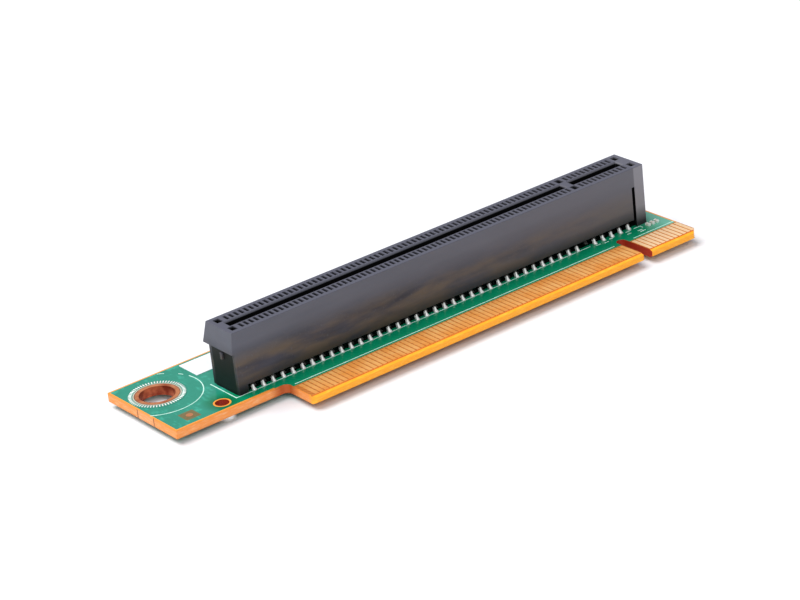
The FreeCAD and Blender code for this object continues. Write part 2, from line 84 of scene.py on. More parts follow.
# ---- the table and the lights ----
# A white paper sweep under a soft box that stands high to the left, a weaker one in front, and the
# white room as the fill. The paper is a flat sheet, matt, with hardly any tooth.
PAPER_SIZE = 3.0
LEFT_BOX_PLACE = (-0.40, 0.34, 1.20)
FRONT_BOX_PLACE = (-0.30, -0.65, 0.60)
ROOM_STRENGTH = 0.38
lowest, highest = cad_box


def linear(code):
    """An sRGB hex colour as linear light: c / 12.92 in the toe, ((c + 0.055) / 1.055) ^ 2.4 above."""
    levels = np.array([int(code[i:i + 2], 16) / 255 for i in (1, 3, 5)])
    light = np.where(levels <= 0.04045, levels / 12.92, ((levels + 0.055) / 1.055) ** 2.4)
    return (*light.tolist(), 1.0)


def new_material(name):
    """A material with one Principled shader; returns the material, its node tree and the shader."""
    material = bpy.data.materials.new(name)
    material.use_nodes = True
    shader = material.node_tree.nodes["Principled BSDF"]
    return material, material.node_tree, shader


def add_node(tree, kind, inputs=(), output=0, **settings):
    """One node with its settings; returns the chosen output. The inputs stand in order in a list, or by
    name or number in a dict, and each is a value or another node's output."""
    node = tree.nodes.new("ShaderNode" + kind)
    for name, value in settings.items():
        setattr(node, name, value)
    for key, value in inputs.items() if isinstance(inputs, dict) else enumerate(inputs):
        if isinstance(value, bpy.types.NodeSocket):
            tree.links.new(value, node.inputs[key])
        else:
            node.inputs[key].default_value = value
    return node.outputs[output]


def coats(tree, base, *layers):
    """A base colour under one or more layers, each (share, colour): where a layer's share is s, the
    colour becomes (1 - s) of what lies under it plus s of its own."""
    for share, colour in layers:
        base = add_node(tree, "Mix", {0: share, 6: base, 7: colour}, 2, data_type="RGBA")
    return base


def millimetres(tree):
    """The object coordinates in millimetres: the vector, and its X, Y and Z by themselves."""
    metres = add_node(tree, "TexCoord", output="Object")
    place = add_node(tree, "Mapping", {"Vector": metres, "Scale": (1 / MM, 1 / MM, 1 / MM)})
    return place, *add_node(tree, "SeparateXYZ", [place]).node.outputs


# Matt off-white paper: no gloss to speak of, a faint tooth 2 mm across.
paper, tree, shader = new_material("matt_off_white_paper")
place, along, across, above = millimetres(tree)
tooth = add_node(tree, "TexNoise", {"Vector": place, "Scale": 0.5, "Detail": 2.0})
tone = coats(tree, linear("#E2E2E4"), (tooth, linear("#E8E8E9")))
tree.links.new(tone, shader.inputs["Base Color"])
shader.inputs["Roughness"].default_value = 0.9
shader.inputs["Specular IOR Level"].default_value = 0.1

half = PAPER_SIZE / 2
sheet_corners = [
    (x, y, lowest.z) for x, y in ((-half, -half), (half, -half), (half, half), (-half, half))]
table_mesh = bpy.data.meshes.new("paper_sweep")
table_mesh.from_pydata(sheet_corners, [], [(0, 1, 2, 3)])
table_mesh.materials.append(paper)
table = bpy.data.objects.new("paper_sweep", table_mesh)
bpy.context.scene.collection.objects.link(table)


def add_soft_box(name, place, target, width, height, power):
    """A rectangular lamp at place, facing target, in metres and watts."""
    lamp = bpy.data.objects.new(name, bpy.data.lights.new(name, "AREA"))
    lamp.data.shape = "RECTANGLE"
    lamp.data.size = width
    lamp.data.size_y = height
    lamp.data.energy = power
    direction = Vector(target) - Vector(place)
    lamp.matrix_world = (
        Matrix.Translation(Vector(place)) @ direction.to_track_quat("-Z", "Y").to_matrix().to_4x4())
    bpy.context.scene.collection.objects.link(lamp)


card_middle = (lowest + highest) / 2
add_soft_box("soft_box_left", LEFT_BOX_PLACE, card_middle, width=1.2, height=0.95, power=21.5)
add_soft_box("soft_box_front", FRONT_BOX_PLACE, card_middle, width=0.8, height=0.5, power=3.8)
world = bpy.data.worlds.new("white_room")
world.use_nodes = True
bpy.context.scene.world = world
world.node_tree.nodes["Background"].inputs["Color"].default_value = linear("#EEF3FF")
world.node_tree.nodes["Background"].inputs["Strength"].default_value = ROOM_STRENGTH


# ---- the circuit board ----
# FR4 laminate: glass cloth in epoxy with copper inside, coated on both faces with green solder mask
# by screen and curtain. The edges are routed bare, and the tongue's window is left without mask.
board_low, board_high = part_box("circuit_board")
BOARD_TOP = board_high.z / MM
LEFT_X = board_low.x / MM
RIGHT_X = board_high.x / MM
REAR_Y = board_high.y / MM
MATING_Y = board_low.y / MM
BODY_FRONT_Y = -13.4
BODY_FRONT_END_X = 13.9
TONGUE_CORNER = (15.9, -14.0, 0.0)
TONGUE_ROOT_Y = -15.2
NOTCH_X = 89.25
NOTCH_HALF = 1.0
NOTCH_END_Y = -13.1
BEVEL_LENGTH = 0.7
BEVEL_Y = MATING_Y + BEVEL_LENGTH
BEVEL_TOP = 1.4
RIM_WIDTH = 0.3
TOOLING_HOLE = (5.45, -10.9, 0.0)
TOOLING_BARE = 1.5
TOOLING_WALL = 1.3
FIDUCIAL_X = -0.65
FIDUCIAL_Y = -10.45
FIDUCIAL_BARE = 1.4
HOUSING_LEFT_X = 8.25
HOUSING_RIGHT_X = 97.75
HOUSING_MIDDLE_X = (HOUSING_LEFT_X + HOUSING_RIGHT_X) / 2
HOUSING_HALF = (HOUSING_RIGHT_X - HOUSING_LEFT_X) / 2
SLOT_Y = -7.6
BARREL_REACH = 4.4
SHADE_REACH = 3.0
TAIL_ROW_Y = -10.75
TRACKS_FROM_X = 11.9
TRACK_SLOPE = 1.26
TRACK_PHASE = 0.25
TRACK_HALF = 0.11
TRACK_EDGE = 0.06
TAB_MIDDLE_Y = -4.4
TAB_HALF = 2.4
TAB_PALENESS = 0.15
NICK_HALF = 0.13


def where_all(tree, *areas):
    """The area that several share: their values multiplied, each a share from 0 to 1."""
    shared = areas[0]
    for area in areas[1:]:
        shared = add_node(tree, "Math", [shared, area], operation="MULTIPLY")
    return shared


def within(tree, *spans):
    """1 where every span holds, else 0: (value, middle, reach) holds within reach of its middle."""
    return where_all(tree, *[add_node(tree, "Math", span, operation="COMPARE") for span in spans])


# Solder mask: a glossy green film of IOR 1.5, teal over the copper plane and darker where only
# tracks lie under it. It stops 0.3 mm short of the outline and clears the tooling hole and the mark.
# Its areas are set by X and Y alone, so both faces carry them, the near-black painted shade under the
# housing too.
mask_green, tree, shader = new_material("solder_mask_on_fr4")
place, along, across, above = millimetres(tree)
facing = add_node(tree, "SeparateXYZ", [add_node(tree, "TexCoord", output="Normal")], "Z")
facing = add_node(tree, "Math", [facing], operation="ABSOLUTE")
on_face = add_node(tree, "Math", [facing, 0.97], operation="GREATER_THAN")
flat_place = add_node(tree, "CombineXYZ", [along, across])
hole_gap = add_node(tree, "VectorMath", [flat_place, TOOLING_HOLE], "Value", operation="DISTANCE")
corner_gap = add_node(tree, "VectorMath", [flat_place, TONGUE_CORNER], "Value", operation="DISTANCE")
on_mark = within(tree, (along, FIDUCIAL_X, FIDUCIAL_BARE), (across, FIDUCIAL_Y, FIDUCIAL_BARE))

# How far a point lies from the outline: the least of its gaps to the left, right, rear and front.
front_gap = add_node(tree, "Math", [
    add_node(tree, "Math", [across, BODY_FRONT_Y], operation="SUBTRACT"),
    add_node(tree, "Math", [along, BODY_FRONT_END_X], operation="SUBTRACT")], operation="MAXIMUM")
edge_gap = add_node(tree, "Math", [along, LEFT_X], operation="SUBTRACT")
for gap in (
        add_node(tree, "Math", [RIGHT_X, along], operation="SUBTRACT"),
        add_node(tree, "Math", [REAR_Y, across], operation="SUBTRACT"), front_gap):
    edge_gap = add_node(tree, "Math", [edge_gap, gap], operation="MINIMUM")
behind_root = add_node(tree, "Math", [across, TONGUE_ROOT_Y], operation="GREATER_THAN")
masked = where_all(
    tree, on_face, behind_root,
    add_node(tree, "Math", [hole_gap, TOOLING_BARE], operation="GREATER_THAN"),
    add_node(tree, "Math", [edge_gap, RIM_WIDTH], operation="GREATER_THAN"),
    add_node(tree, "Math", [1.0, on_mark], operation="SUBTRACT"))

# Tracks run aslant from the fingers to the tails, one to each, 0.22 mm wide.
lean = add_node(tree, "Math", [across, TAIL_ROW_Y], operation="SUBTRACT")
lean = add_node(tree, "Math", [lean, TRACK_SLOPE, along], operation="MULTIPLY_ADD")
lean = add_node(tree, "Math", [lean, TRACK_PHASE], operation="SUBTRACT")
lean = add_node(tree, "Math", [lean], operation="FRACT")
lean = add_node(tree, "Math", [lean, 0.5], operation="SUBTRACT")
lean = add_node(tree, "Math", [lean], operation="ABSOLUTE")
track = where_all(
    tree, add_node(tree, "MapRange", [lean, TRACK_HALF, TRACK_HALF + TRACK_EDGE, 1.0, 0.0]),
    add_node(tree, "MapRange", [across, TAIL_ROW_Y - 0.2, TAIL_ROW_Y, 1.0, 0.0]),
    add_node(tree, "Math", [along, TRACKS_FROM_X], operation="GREATER_THAN"))

# The film's tone: clouds 3 mm wide, paler flow marks 1 mm wide, and grain of 0.17 mm, with painted
# reflection and painted shade laid on it below.
cloud = add_node(tree, "TexNoise", {"Vector": place, "Scale": 0.35, "Detail": 3.0})
flowing = add_node(tree, "Mapping", {"Vector": place, "Scale": (1.0, 0.5, 1.0)})
mottle = add_node(tree, "TexNoise", {"Vector": flowing, "Scale": 1.1, "Detail": 4.0})
grain = add_node(tree, "TexNoise", {"Vector": place, "Scale": 6.0, "Detail": 3.0})
off_plane = where_all(
    tree, add_node(tree, "MapRange", [across, TAIL_ROW_Y + 1.0, TAIL_ROW_Y + 4.0, 1.0, 0.0]),
    add_node(tree, "MapRange", [along, TOOLING_HOLE[0] - 3.0, TOOLING_HOLE[0] - 0.5, 0.0, 1.0]))
# Painted shade: the mask under the housing is made near-black.
painted_shade_under_housing = within(tree, (along, HOUSING_MIDDLE_X, HOUSING_HALF - 0.4), (across, SLOT_Y, SHADE_REACH))
film = coats(
    tree, linear("#1E7862"),
    (cloud, linear("#2C9079")),
    (add_node(tree, "MapRange", [mottle, 0.55, 0.75, 0.0, 0.45]), linear("#4CC4AC")),
    (off_plane, coats(tree, linear("#037850"), (cloud, linear("#079266")))),
    (track, linear("#0F8C66")),
    # painted reflection of the housing and painted shade, darker round the tooling hole
    (add_node(tree, "MapRange", [hole_gap, 1.6, 3.4, 0.6, 0.0]), linear("#0C4E28")),
    # painted reflection: the film paler towards the right end
    (add_node(tree, "MapRange", [along, HOUSING_RIGHT_X - 2.0, HOUSING_RIGHT_X + 2.0, 0.0, 0.75]),
     linear("#74BCA6")),
    # painted shade under the housing
    (painted_shade_under_housing, linear("#02150E")))

# Bare laminate on the faces: orange-brown with the cloth's weave, 0.7 mm from band to band, brighter
# along the rim and olive round the mark.
weave = add_node(
    tree, "TexWave", {"Vector": place, "Scale": 0.6, "Distortion": 0.6, "Detail": 1.0}, "Fac",
    bands_direction="DIAGONAL")
wall_gap = add_node(tree, "Math", [hole_gap, TOOLING_WALL], operation="SUBTRACT")
rim_gap = add_node(tree, "Math", [edge_gap, wall_gap], operation="MINIMUM")
near_rim = add_node(tree, "Math", [rim_gap, RIM_WIDTH], operation="LESS_THAN")
bare_face = coats(
    tree, linear("#A85A18"),
    (weave, linear("#C0762A")),
    (where_all(tree, near_rim, behind_root), linear("#E8902E")),
    (on_mark, coats(tree, linear("#54502E"), (grain, linear("#7C6A40")))))

# Routed edges: orange in plies, paler in streaks where cut glass stands out, and painted shade in dark
# red-brown in the notch, the hole and the tongue's corner. The left edge keeps the pale stub of its panel
# tab between two nicks, and the walls of the tail holes under the housing are painted dark as shade.
plies = add_node(tree, "Mapping", {"Vector": place, "Scale": (0.8, 0.8, 5.0)})
plies = add_node(tree, "TexNoise", {"Vector": plies, "Scale": 1.0, "Detail": 4.0})
streaks = add_node(tree, "MapRange", [plies, 0.45, 0.75, 0.0, 1.0])
bevel_start = where_all(
    tree, within(tree, (across, BEVEL_Y, 0.22)),
    add_node(tree, "Math", [above, BEVEL_TOP], operation="GREATER_THAN"))
# Painted shade on the walls of the notch and the tooling hole.
shaded_recess_walls = where_all(
    tree, within(tree, (along, NOTCH_X, NOTCH_HALF)),
    add_node(tree, "Math", [across, NOTCH_END_Y], operation="LESS_THAN"))
shaded_recess_walls = add_node(tree, "Math", [
    shaded_recess_walls, add_node(tree, "Math", [hole_gap, TOOLING_WALL], operation="LESS_THAN")],
    operation="MAXIMUM")
on_left_edge = add_node(tree, "Math", [along, LEFT_X + 0.02], operation="LESS_THAN")
on_tab = where_all(tree, on_left_edge, within(tree, (across, TAB_MIDDLE_Y, TAB_HALF)), TAB_PALENESS)
from_tab = add_node(tree, "Math", [across, TAB_MIDDLE_Y], operation="SUBTRACT")
from_tab = add_node(tree, "Math", [from_tab], operation="ABSOLUTE")
nick = where_all(tree, on_left_edge, within(tree, (from_tab, TAB_HALF, NICK_HALF)))
# Painted shade on the walls of the tail holes under the housing.
shaded_tail_holes = within(tree, (across, SLOT_Y, BARREL_REACH), (along, HOUSING_MIDDLE_X, HOUSING_HALF + 0.3))
cut_edge = coats(
    tree, linear("#F29240"),
    (streaks, linear("#F6B57E")),
    (add_node(tree, "MapRange", [above, 1.1, 1.45, 0.0, 0.8]), linear("#F08E24")),
    (add_node(tree, "MapRange", [above, 0.1, 0.4, 0.5, 0.0]), linear("#D87A28")),
    # painted shade in the tongue's corner
    (add_node(tree, "MapRange", [corner_gap, 0.8, 2.8, 0.9, 0.0]), linear("#B04A08")),
    (add_node(tree, "MapRange", [across, BEVEL_Y + 0.2, BEVEL_Y + 1.0, 1.0, 0.0]),
     coats(tree, linear("#FFA410"), (streaks, linear("#FFB834")))),
    (bevel_start, linear("#CC6408")),
    (shaded_recess_walls, linear("#A42A0C")),
    (on_tab, linear("#EDC09C")),
    (nick, linear("#8E4C28")),
    (shaded_tail_holes, linear("#2C322C")))

laminate = coats(tree, cut_edge, (on_face, bare_face))
tree.links.new(coats(tree, laminate, (masked, film)), shader.inputs["Base Color"])
gloss = add_node(tree, "MapRange", [masked, 0.0, 1.0, 0.6, 0.13])
tree.links.new(gloss, shader.inputs["Roughness"])
shader.inputs["IOR"].default_value = 1.5
relief = add_node(tree, "Math", [track, 0.6, masked], operation="MULTIPLY_ADD")
relief = add_node(tree, "Math", [mottle, 0.8, relief], operation="MULTIPLY_ADD")
relief = add_node(tree, "Math", [grain, 0.25, relief], operation="MULTIPLY_ADD")
bump = add_node(tree, "Bump", {"Height": relief, "Strength": 0.25, "Distance": 0.03 * MM})
tree.links.new(bump, shader.inputs["Normal"])


def dress(node_name, material):
    """Gives a node of the frame its finished material in place of its plain one."""
    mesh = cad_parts[node_name].data
    mesh.materials.clear()
    mesh.materials.append(material)


dress("circuit_board", mask_green)


# ---- the printed lines ----
# White epoxy ink, screen printed on the mask: the connector's outline, the line along the tongue's
# root, the keep-out circle round the mounting hole and a few dashes. About 0.02 mm thick.
INK_HEIGHT = 0.02
INK_TAPER = 0.8
INK_WIDTH = 0.2
CIRCLE_WIDTH = 0.17
DASH_WIDTH = 0.22
OUTLINE_LEFT_X = 8.0
OUTLINE_FRONT_Y = -11.35
OUTLINE_REAR_Y = -3.85
OUTLINE_BREAK_X = 84.3
ROOT_LINE_Y = -14.65
ROOT_LINES = ((17.35, 87.1), (91.6, 101.1))
KEEP_OUT_RADIUS = 7.65
KEEP_OUT_ARCS = ((-132.0, 13.0), (22.0, 29.0), (48.0, 57.0))
DASHES = (
    ((85.2, -11.9), (86.3, -11.9)), ((86.9, -12.2), (87.9, -12.2)), ((88.6, -11.6), (89.6, -11.6)),
    ((92.4, -11.7), (93.6, -11.7)), ((92.0, -12.6), (92.9, -12.6)), ((94.2, -12.9), (95.3, -12.9)),
    ((94.4, -11.6), (95.8, -11.6)), ((95.9, -12.4), (95.9, -11.6)), ((94.3, -13.5), (95.5, -13.5)),
)
INK_STEP = 0.25
WANDER = 0.08
WANDER_LIMIT = 0.2


def carry_strip(path, width, height, base):
    """A low strip along a path of points (x, y): its cross-section is a trapezium as wide as width at
    the foot and INK_TAPER of that on top, set square to the path, mitred at corners by
    (n1 + n2) / (1 + n1.n2), and closed on the path's own end points."""
    path = np.asarray(path, float)
    width = np.broadcast_to(width, len(path))[:, None]
    step = np.diff(path, axis=0)
    step = step / np.linalg.norm(step, axis=1, keepdims=True)
    normal = np.stack([-step[:, 1], step[:, 0]], axis=1)
    before = np.vstack([normal[:1], normal])
    after = np.vstack([normal, normal[-1:]])
    mitre = (before + after) / (1 + (before * after).sum(axis=1, keepdims=True))
    wide = mitre * width / 2
    narrow = wide * INK_TAPER
    foot = np.full((len(path), 1), base)
    head = np.full((len(path), 1), base + height)
    ring = [
        np.hstack([path + wide, foot]), np.hstack([path + narrow, head]),
        np.hstack([path - narrow, head]), np.hstack([path - wide, foot])]
    rows = np.stack(ring, axis=1)
    ends = np.hstack([path, foot + height / 2])
    start = np.repeat(ends[None, :1], 4, axis=1)
    stop = np.repeat(ends[None, -1:], 4, axis=1)
    return np.concatenate([start, rows, stop])


def make_piece(name, grids, material, smooth=False):
    """One object from grids of points in millimetres, each (rows, columns, 3) and closed round its
    columns. Cells become quads, points that meet are merged, and faces are turned outwards."""
    points = np.concatenate([grid.reshape(-1, 3) for grid in grids]) * MM
    quads = []
    first = 0
    for rows, columns in [grid.shape[:2] for grid in grids]:
        row, column = np.meshgrid(np.arange(rows - 1), np.arange(columns), indexing="ij")
        beside = (column + 1) % columns
        corner = [row * columns + column, row * columns + beside,
                  (row + 1) * columns + beside, (row + 1) * columns + column]
        quads.append(first + np.stack(corner, axis=-1).reshape(-1, 4))
        first += rows * columns
    mesh = bpy.data.meshes.new(name)
    mesh.from_pydata(points.tolist(), [], np.concatenate(quads).tolist())
    solid = bmesh.new()
    solid.from_mesh(mesh)
    bmesh.ops.remove_doubles(solid, verts=solid.verts, dist=1e-7)
    bmesh.ops.recalc_face_normals(solid, faces=solid.faces)
    solid.to_mesh(mesh)
    solid.free()
    mesh.polygons.foreach_set("use_smooth", np.full(len(mesh.polygons), smooth))
    mesh.materials.append(material)
    piece = bpy.data.objects.new(name, mesh)
    bpy.context.scene.collection.objects.link(piece)
    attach(piece, "root")
    return piece


def run(start, stop):
    """Points from start to stop, about one ink step apart."""
    count = max(2, int(np.hypot(*np.subtract(stop, start)) / INK_STEP))
    return np.linspace(start, stop, count)


def arc(radius, start, stop):
    """Points on a circle about the mounting hole: (r cos a, r sin a), a going from start to stop."""
    count = max(4, int(abs(stop - start) * pi / 180 * radius / INK_STEP))
    angle = np.radians(np.linspace(start, stop, count))
    return radius * np.stack([np.cos(angle), np.sin(angle)], axis=1)


draw = np.random.default_rng(7)


def print_line(path, width=INK_WIDTH):
    """An ink line whose width wanders by a tenth or so, as screen printing leaves it."""
    wander = np.clip(draw.normal(0, WANDER, len(path)), -WANDER_LIMIT, WANDER_LIMIT)
    return carry_strip(path, width * (1 + wander), INK_HEIGHT, BOARD_TOP)


# Printing ink: matt white with a green cast where it is thin, mottled about a millimetre wide.
ink, tree, shader = new_material("white_epoxy_ink")
place, along, across, above = millimetres(tree)
mottle = add_node(tree, "TexNoise", {"Vector": place, "Scale": 0.9, "Detail": 3.0})
tone = coats(tree, linear("#8ED0BA"), (mottle, linear("#E8FFF6")))
tree.links.new(tone, shader.inputs["Base Color"])
shader.inputs["Roughness"].default_value = 0.5

outline = np.vstack([
    run((OUTLINE_LEFT_X, OUTLINE_REAR_Y), (OUTLINE_LEFT_X, OUTLINE_FRONT_Y))[:-1],
    run((OUTLINE_LEFT_X, OUTLINE_FRONT_Y), (OUTLINE_BREAK_X, OUTLINE_FRONT_Y))])
printed = [print_line(outline)]
printed += [print_line(run((start, ROOT_LINE_Y), (stop, ROOT_LINE_Y))) for start, stop in ROOT_LINES]
printed += [
    print_line(arc(KEEP_OUT_RADIUS, start, stop), CIRCLE_WIDTH) for start, stop in KEEP_OUT_ARCS]
printed += [print_line(run(start, stop), DASH_WIDTH) for start, stop in DASHES]
make_piece("printed_lines", printed, ink)


# ---- the plated mounting hole ----
# A drilled hole lined with plated copper, with a pad on each face. Round the bare copper ring, small
# ribs of solder stand in a circle where a washer bites.
RIB_COUNT = 58
RIB_INNER = 4.12
RIB_OUTER = 4.86
RIB_WIDTH = 0.22
RIB_HEIGHT = 0.09
BORE_RADIUS = 3.05
GAP_RADIUS = 3.74
RING_RADIUS = 3.84
MASK_RADIUS = 4.06
PAD_REACH = 6.0
PAD_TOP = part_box("mounting_hole_plating")[1].z / MM
PAD_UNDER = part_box("mounting_hole_plating")[0].z / MM
INNER_REACH = 2.5
SHADE_FROM_Z = 0.5
SHADE_SHARE = 0.92

# Bare copper, plated and left to the air: metal, fairly rough, orange to red-brown in patches about
# 2 mm wide and darkest in the bore. A cream ring of solder runs round it, and mask covers the pad
# between the ribs. The mark, far from the hole, is the same copper and cleaner.
copper, tree, shader = new_material("tarnished_copper")
place, along, across, above = millimetres(tree)
flat_place = add_node(tree, "CombineXYZ", [along, across])
radius = add_node(tree, "VectorMath", [flat_place], "Value", operation="LENGTH")
patches = add_node(tree, "TexNoise", {"Vector": place, "Scale": 0.5, "Detail": 4.0})
bore_tone = coats(
    tree, linear("#862E14"), (add_node(tree, "MapRange", [patches, 0.45, 0.7]), linear("#CC6C44")))
tone = coats(
    tree, linear("#B05830"),
    (add_node(tree, "MapRange", [patches, 0.35, 0.65]), linear("#E29462")),
    (add_node(tree, "Math", [radius, BORE_RADIUS], operation="LESS_THAN"), bore_tone),
    (add_node(tree, "Math", [radius, GAP_RADIUS], operation="GREATER_THAN"), linear("#3C1C10")),
    (add_node(tree, "Math", [radius, RING_RADIUS], operation="GREATER_THAN"), linear("#E6DCC6")),
    (add_node(tree, "Math", [radius, MASK_RADIUS], operation="GREATER_THAN"), linear("#4AA08A")),
    (add_node(tree, "Math", [radius, PAD_REACH], operation="GREATER_THAN"), linear("#D08A5C")))
tree.links.new(tone, shader.inputs["Base Color"])
gloss = add_node(tree, "MapRange", [patches, 0.0, 1.0, 0.5, 0.3])
tree.links.new(gloss, shader.inputs["Roughness"])
shader.inputs["Metallic"].default_value = 0.6
bump = add_node(tree, "Bump", {"Height": patches, "Strength": 0.4, "Distance": 0.05 * MM})
tree.links.new(bump, shader.inputs["Normal"])
dress("mounting_hole_plating", copper)
dress("fiducial_mark", copper)

# Solder: a bright tin alloy with a whitish frozen skin, satin, with painted dark shade on the joints
# that the housing covers.
solder, tree, shader = new_material("tin_solder")
place, along, across, above = millimetres(tree)
skin = add_node(tree, "TexNoise", {"Vector": place, "Scale": 2.6, "Detail": 3.0})
# Painted shade on the joints under the housing.
housing_shade = where_all(
    tree, within(tree, (across, SLOT_Y, INNER_REACH)),
    add_node(tree, "Math", [above, SHADE_FROM_Z], operation="GREATER_THAN"), SHADE_SHARE)
tone = coats(tree, linear("#EFEEE8"), (skin, linear("#FFFFFC")), (housing_shade, linear("#26221C")))
tree.links.new(tone, shader.inputs["Base Color"])
gloss = add_node(tree, "MapRange", [skin, 0.0, 1.0, 0.55, 0.3])
tree.links.new(gloss, shader.inputs["Roughness"])
shader.inputs["Metallic"].default_value = 0.25


def raise_ribs(base, direction):
    """Ribs pointing at the hole: rib k lies at the angle 2 pi k / n. At u from 0 to 1 along it, its
    cross-section is half an ellipse of width and height times (1 - (2u - 1)^4) ^ 0.5, so its ends
    close."""
    u = np.linspace(0, 1, 7)
    v = np.linspace(0, pi, 7)
    angle = 2 * pi * np.arange(RIB_COUNT) / RIB_COUNT
    swell = np.sqrt(1 - (2 * u - 1) ** 4)
    radius = (RIB_INNER + (RIB_OUTER - RIB_INNER) * u)[None, :, None]
    side = RIB_WIDTH / 2 * swell[None, :, None] * np.cos(v)[None, None, :]
    height = RIB_HEIGHT * swell[None, :, None] * np.sin(v)[None, None, :]
    turn = angle[:, None, None]
    x = radius * np.cos(turn) - side * np.sin(turn)
    y = radius * np.sin(turn) + side * np.cos(turn)
    z = np.broadcast_to(base + direction * height, x.shape)
    return list(np.stack([x, y, z], axis=-1))


ribs = raise_ribs(PAD_TOP, 1) + raise_ribs(PAD_UNDER, -1)
make_piece("solder_ribs", ribs, solder, smooth=True)


# ---- the edge fingers ----
# Copper strips on both faces of the tongue, plated with hard gold over nickel, 0.7 mm wide at
# 1.00 mm pitch, and rubbed along their length each time the card is plugged in.
PALE_FROM_X = 88.5
PALE_TO_X = 90.0

# Hard gold: metal, satin from the plating bath, with wiping marks about 0.05 mm apart, and a painted
# sheen that makes the short fingers paler.
gold, tree, shader = new_material("hard_gold_plate")
place, along, across, above = millimetres(tree)
rubbed = add_node(tree, "Mapping", {"Vector": place, "Scale": (18.0, 0.5, 1.0)})
wiping = add_node(tree, "TexNoise", {"Vector": rubbed, "Scale": 1.0, "Detail": 2.0})
patches = add_node(tree, "TexNoise", {"Vector": place, "Scale": 0.26, "Detail": 3.0})
tone = coats(
    tree, linear("#F2A04A"),
    (add_node(tree, "MapRange", [patches, 0.35, 0.65]), linear("#FABE72")),
    # painted sheen on the short fingers
    (add_node(tree, "MapRange", [along, PALE_FROM_X, PALE_TO_X, 0.0, 0.7]), linear("#FFE2B8")))
tree.links.new(tone, shader.inputs["Base Color"])
gloss = add_node(tree, "MapRange", [wiping, 0.0, 1.0, 0.5, 0.28])
tree.links.new(gloss, shader.inputs["Roughness"])
shader.inputs["Metallic"].default_value = 0.35
bump = add_node(tree, "Bump", {"Height": wiping, "Strength": 0.2, "Distance": 0.02 * MM})
tree.links.new(bump, shader.inputs["Normal"])
for face in ("top", "bottom"):
    dress(f"fingers_{face}_long", gold)
    dress(f"fingers_{face}_short", gold)


# ---- the slot housing ----
# One moulding of glass-filled liquid crystal polymer, black, pressed onto the board by its posts.
# Its skin is satin with a fine grain, and its moulded edges are a little rounded and carry a painted
# highlight.
OUTER_WALL = 0.7
BODY_HALF = 3.7
END_SLIT_X = 95.55
SLIT_HALF = 0.36
ROOF_Z = 12.75
STEP_Z = 7.0
BOARD_REFLECTION_TO_Z = 9.5
SKY_REFLECTION_TO_Z = 10.5
LOW_SHADE_FROM_Z = 2.2
LOW_SHADE_TO_Z = 5.2
PALER_FROM_X = 40.0

# Moulded resin: dielectric; grain 0.15 mm, flow marks some millimetres long, specks, and paler towards
# the right end and beyond the end slit. Painted light: a bluish reflection higher up, a sheen on the
# roof, a
# brown reflection of the board lower down, and highlights on the pip and the rounded edges. Painted
# shade:
# near-black low down, on the left end face and inside the cells and the end slit.
resin, tree, shader = new_material("glass_filled_black_resin")
place, along, across, above = millimetres(tree)
flowing = add_node(tree, "Mapping", {"Vector": place, "Scale": (0.12, 0.5, 0.5)})
flow = add_node(tree, "TexNoise", {"Vector": flowing, "Scale": 1.0, "Detail": 4.0})
# Painted reflection of the orange board: brown streaks, lower on the faces.
board_reflection_streaks = add_node(tree, "Mapping", {"Vector": place, "Scale": (0.12, 0.4, 0.5)})
painted_board_reflection = add_node(tree, "TexNoise", {"Vector": board_reflection_streaks, "Scale": 1.0, "Detail": 6.0})
painted_board_reflection = where_all(
    tree, add_node(tree, "MapRange", [painted_board_reflection, 0.38, 0.62]),
    add_node(tree, "MapRange", [above, STEP_Z, BOARD_REFLECTION_TO_Z, 0.75, 0.1]))
specks = add_node(tree, "TexNoise", {"Vector": place, "Scale": 2.2, "Detail": 2.0})
grain = add_node(tree, "TexNoise", {"Vector": place, "Scale": 6.5, "Detail": 3.0})
# Painted shade: the left end face is made near-black below the step.
shaded_end_face = where_all(
    tree, add_node(tree, "MapRange", [along, HOUSING_LEFT_X + 0.1, HOUSING_LEFT_X + 0.4, 0.95, 0.0]),
    add_node(tree, "MapRange", [above, STEP_Z, STEP_Z + 0.1, 1.0, 0.0]))
# Painted shade: near-black inside the cells and the end slit.
inside = where_all(
    tree, within(
        tree, (across, SLOT_Y, BODY_HALF - OUTER_WALL), (along, HOUSING_MIDDLE_X, HOUSING_HALF - 0.5)),
    add_node(tree, "MapRange", [above, ROOF_Z - 0.3, ROOF_Z, 1.0, 0.0]))
in_slit = where_all(
    tree, within(tree, (along, END_SLIT_X - 0.3, SLIT_HALF), (across, SLOT_Y, BODY_HALF - 0.04)),
    add_node(tree, "Math", [above, ROOF_Z - 1.0], operation="LESS_THAN"))
# The pip on the left end face gets a painted highlight.
on_pip = add_node(tree, "Math", [along, HOUSING_LEFT_X - 0.05], operation="LESS_THAN")

